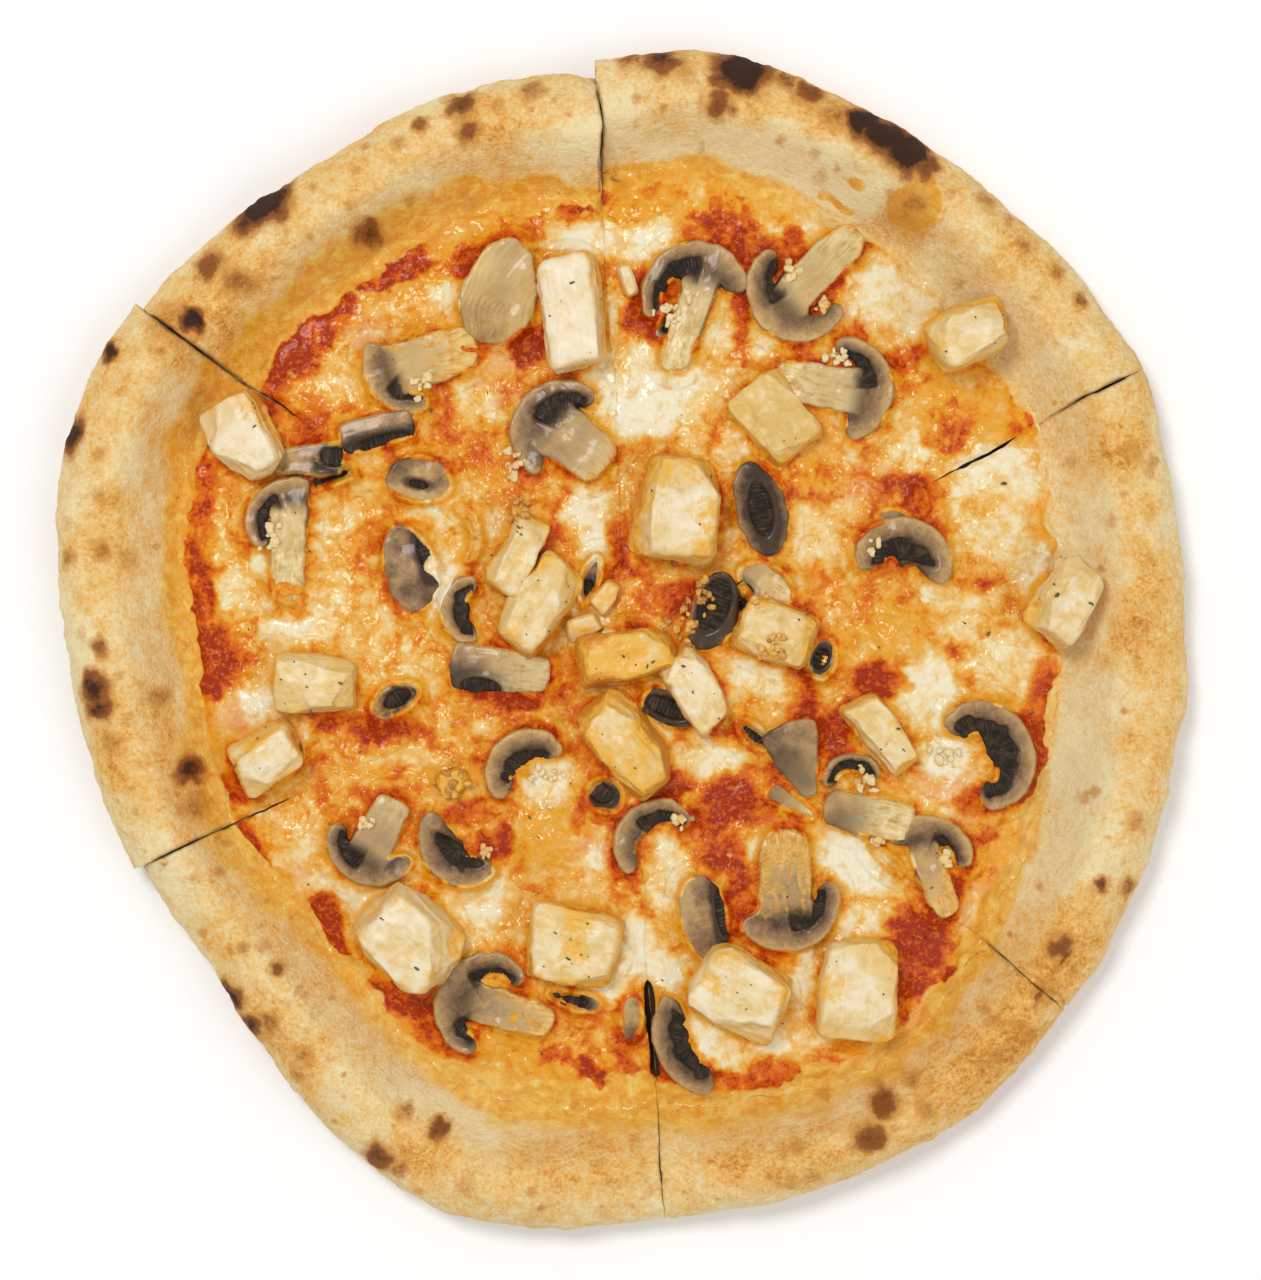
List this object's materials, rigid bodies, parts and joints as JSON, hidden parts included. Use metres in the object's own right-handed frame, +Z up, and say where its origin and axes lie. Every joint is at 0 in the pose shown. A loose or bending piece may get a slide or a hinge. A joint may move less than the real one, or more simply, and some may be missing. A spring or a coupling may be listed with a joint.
{
  "type": "chicken mushroom pizza",
  "caption": "Round baked pizza with a puffed rim, cut into slices that lie together, topped with molten cheese, mushroom slices and chicken chunks.",
  "frame": {"origin": "middle of the pizza's bounding box, on the surface that it rests on", "axes": "+Z up out of the topping; +Y towards the far side of the pizza, +X to the right"},
  "size_m": [0.3048, 0.3173, 0.0263],
  "materials": {
    "crust": "baked dough, matte, cream to gold with dark blisters",
    "cheese": "molten cheese over tomato sauce, wet, mottled cream, orange and red",
    "mushroom": "cooked mushroom, taupe flesh with dark gills, moist",
    "chicken": "cooked chicken breast, pale cream, stained orange at the edges"
  },
  "bodies": {
    "root": {"crust_far_right": "crust", "crust_far_left": "crust", "crust_left": "crust", "crust_near_left": "crust", "crust_near_right": "crust", "crust_right": "crust", "cheese_far_right": "cheese", "cheese_far_left": "cheese", "cheese_left": "cheese", "cheese_near_left": "cheese", "cheese_near_right": "cheese", "cheese_right": "cheese", "mushroom_01": "mushroom", "mushroom_02": "mushroom", "mushroom_03": "mushroom", "mushroom_04": "mushroom", "mushroom_05": "mushroom", "mushroom_06": "mushroom", "mushroom_07": "mushroom", "mushroom_08": "mushroom", "mushroom_09": "mushroom", "mushroom_10": "mushroom", "mushroom_11": "mushroom", "mushroom_12": "mushroom", "mushroom_13": "mushroom", "mushroom_14": "mushroom", "mushroom_15": "mushroom", "mushroom_16": "mushroom", "mushroom_17": "mushroom", "mushroom_18": "mushroom", "mushroom_19": "mushroom", "mushroom_20": "mushroom", "mushroom_21": "mushroom", "mushroom_22": "mushroom", "mushroom_23": "mushroom", "mushroom_24": "mushroom", "mushroom_25": "mushroom", "mushroom_26": "mushroom", "mushroom_27": "mushroom", "mushroom_28": "mushroom", "mushroom_29": "mushroom", "chicken_01": "chicken", "chicken_02": "chicken", "chicken_03": "chicken", "chicken_04": "chicken", "chicken_05": "chicken", "chicken_06": "chicken", "chicken_07": "chicken", "chicken_08": "chicken", "chicken_09": "chicken", "chicken_10": "chicken", "chicken_11": "chicken", "chicken_12": "chicken", "chicken_13": "chicken", "chicken_14": "chicken", "chicken_15": "chicken", "chicken_16": "chicken", "chicken_17": "chicken", "chicken_18": "chicken", "chicken_19": "chicken"}
  },
  "joints": []
}
